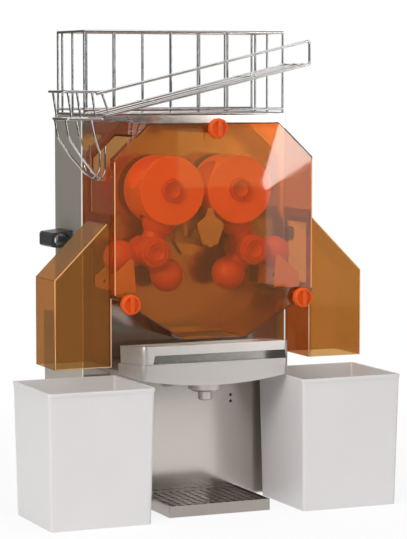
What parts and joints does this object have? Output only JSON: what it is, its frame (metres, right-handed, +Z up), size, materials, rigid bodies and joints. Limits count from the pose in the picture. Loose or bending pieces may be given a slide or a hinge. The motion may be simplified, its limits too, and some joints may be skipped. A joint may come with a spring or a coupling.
{
  "type": "automatic orange juicer",
  "caption": "Counter-top automatic orange juicer with wire fruit hopper, clear amber squeezing cover, geared cup drums and ball rotors, juice tray, spout and side peel bins",
  "frame": {"origin": "middle of the footprint on the table, which lies under the tower front face", "axes": "+X to the right of a person facing the machine, front faces -Y, +Z up"},
  "size_m": [0.672, 0.4, 0.8525],
  "materials": {
    "stainless": "brushed stainless sheet",
    "tower_grey": "dull grey stainless sheet",
    "chrome_wire": "bright plated wire",
    "amber_clear": "clear amber plastic",
    "amber_solid": "solid amber plastic",
    "drum_red": "smooth orange-red plastic",
    "knob_orange": "bright orange plastic",
    "white_plastic": "white plastic",
    "tray_grey": "light grey plastic",
    "black_plastic": "black plastic",
    "dark_mesh": "dark perforated sheet",
    "bright_steel": "ground steel",
    "gear_steel": "plain machined steel",
    "case_alloy": "machined alloy",
    "motor_paint": "dark painted casting",
    "foot_rubber": "black rubber",
    "start_green": "green plastic",
    "stop_red": "red plastic"
  },
  "bodies": {
    "frame": {"base_plate": "stainless", "feet": "foot_rubber", "front_plate": "stainless", "side_wrap": "tower_grey", "rear_panel": "tower_grey", "motor_cover": "tower_grey", "bearing_plate_front": "case_alloy", "bearing_plate_rear": "case_alloy", "shaft_bearings": "bright_steel", "gearbox": "case_alloy", "motor": "motor_paint", "power_inlet": "black_plastic", "switch_box": "black_plastic", "handle_left": "black_plastic", "handle_right": "black_plastic", "knife_holder": "bright_steel", "knife_blade": "bright_steel", "ejector_left": "amber_solid", "ejector_right": "amber_solid", "tray_hanger": "stainless"},
    "drum_left": {"drum_left": "drum_red", "drum_cap_left": "drum_red", "drum_shaft_left": "bright_steel", "drum_gear_left": "gear_steel"},
    "drum_right": {"drum_right": "drum_red", "drum_cap_right": "drum_red", "drum_shaft_right": "bright_steel", "drum_gear_right": "gear_steel"},
    "rotor_left": {"rotor_left": "drum_red", "rotor_cap_left": "drum_red", "rotor_shaft_left": "bright_steel", "rotor_gear_left": "gear_steel"},
    "rotor_right": {"rotor_right": "drum_red", "rotor_cap_right": "drum_red", "rotor_shaft_right": "bright_steel", "rotor_gear_right": "gear_steel"},
    "pinion": {"drive_pinion": "gear_steel"},
    "cover": {"cover": "amber_clear"},
    "knob_top": {"knob_top": "knob_orange"},
    "knob_left": {"knob_left": "knob_orange"},
    "knob_right": {"knob_right": "knob_orange"},
    "chute_left": {"chute_left": "amber_clear"},
    "chute_right": {"chute_right": "amber_clear"},
    "hopper": {"basket_front": "chrome_wire", "basket_back": "chrome_wire", "basket_left": "chrome_wire", "basket_right": "chrome_wire", "basket_floor": "chrome_wire", "ramp_fence": "chrome_wire", "ramp_floor": "chrome_wire", "feed_funnel": "chrome_wire"},
    "juice_tray": {"juice_tray": "tray_grey"},
    "pulp_drawer": {"pulp_drawer": "tray_grey", "pulp_filter": "bright_steel"},
    "drip_tray": {"drip_tray": "stainless"},
    "drip_grid": {"drip_grid": "dark_mesh"},
    "bin_left": {"bin_left": "white_plastic"},
    "bin_right": {"bin_right": "white_plastic"},
    "start_button": {"start_button": "start_green"},
    "stop_button": {"stop_button": "stop_red"}
  },
  "joints": [
    {"name": "drum_left_spin", "type": "hinge", "parent": "frame", "child": "drum_left", "pos_m": [-0.06525, 0, 0.5695], "axis": [0, 1, 0], "continuous": true},
    {"name": "drum_right_spin", "type": "hinge", "parent": "frame", "child": "drum_right", "pos_m": [0.06525, 0, 0.5695], "axis": [0, 1, 0], "continuous": true},
    {"name": "rotor_left_spin", "type": "hinge", "parent": "frame", "child": "rotor_left", "pos_m": [-0.0945, 0, 0.46087], "axis": [0, 1, 0], "continuous": true},
    {"name": "rotor_right_spin", "type": "hinge", "parent": "frame", "child": "rotor_right", "pos_m": [0.0945, 0, 0.46087], "axis": [0, 1, 0], "continuous": true},
    {"name": "pinion_spin", "type": "hinge", "parent": "frame", "child": "pinion", "pos_m": [-0.04612, 0, 0.37708], "axis": [0, 1, 0], "continuous": true},
    {"name": "cover_slide", "type": "slide", "parent": "frame", "child": "cover", "axis": [0, -1, 0], "range_m": [0, 0.18]},
    {"name": "knob_top_turn", "type": "hinge", "parent": "cover", "child": "knob_top", "pos_m": [0, -0.14, 0.68], "axis": [0, -1, 0], "range_deg": [0, 720]},
    {"name": "knob_left_turn", "type": "hinge", "parent": "cover", "child": "knob_left", "pos_m": [-0.165, -0.14, 0.377], "axis": [0, -1, 0], "range_deg": [0, 720]},
    {"name": "knob_right_turn", "type": "hinge", "parent": "cover", "child": "knob_right", "pos_m": [0.165, -0.14, 0.377], "axis": [0, -1, 0], "range_deg": [0, 720]},
    {"name": "chute_left_slide", "type": "slide", "parent": "cover", "child": "chute_left", "axis": [-1, 0, 0], "range_m": [0, 0.12]},
    {"name": "chute_right_slide", "type": "slide", "parent": "cover", "child": "chute_right", "axis": [1, 0, 0], "range_m": [0, 0.12]},
    {"name": "hopper_lift", "type": "slide", "parent": "frame", "child": "hopper", "axis": [0, 0, 1], "range_m": [0, 0.15]},
    {"name": "juice_tray_slide", "type": "slide", "parent": "frame", "child": "juice_tray", "axis": [0, -1, 0], "range_m": [0, 0.16]},
    {"name": "pulp_drawer_slide", "type": "slide", "parent": "juice_tray", "child": "pulp_drawer", "axis": [0, -0.9971, 0.0767], "range_m": [0, 0.14]},
    {"name": "drip_tray_slide", "type": "slide", "parent": "frame", "child": "drip_tray", "axis": [0, -1, 0], "range_m": [0, 0.18]},
    {"name": "drip_grid_lift", "type": "slide", "parent": "drip_tray", "child": "drip_grid", "axis": [0, 0, 1], "range_m": [0, 0.06]},
    {"name": "bin_left_slide", "type": "slide", "parent": "frame", "child": "bin_left", "axis": [0, -1, 0], "range_m": [0, 0.22]},
    {"name": "bin_right_slide", "type": "slide", "parent": "frame", "child": "bin_right", "axis": [0, -1, 0], "range_m": [0, 0.22]},
    {"name": "start_button_press", "type": "slide", "parent": "frame", "child": "start_button", "axis": [-1, 0, 0], "range_m": [0, 0.003], "stiffness_N_per_m": 400},
    {"name": "stop_button_press", "type": "slide", "parent": "frame", "child": "stop_button", "axis": [-1, 0, 0], "range_m": [0, 0.003], "stiffness_N_per_m": 400}
  ],
  "couplings": [
    {"joint": "drum_right_spin", "follows": "drum_left_spin", "ratio": -1},
    {"joint": "rotor_left_spin", "follows": "drum_left_spin", "ratio": -1},
    {"joint": "rotor_right_spin", "follows": "drum_left_spin", "ratio": 1},
    {"joint": "pinion_spin", "follows": "drum_left_spin", "ratio": 1.3889}
  ]
}
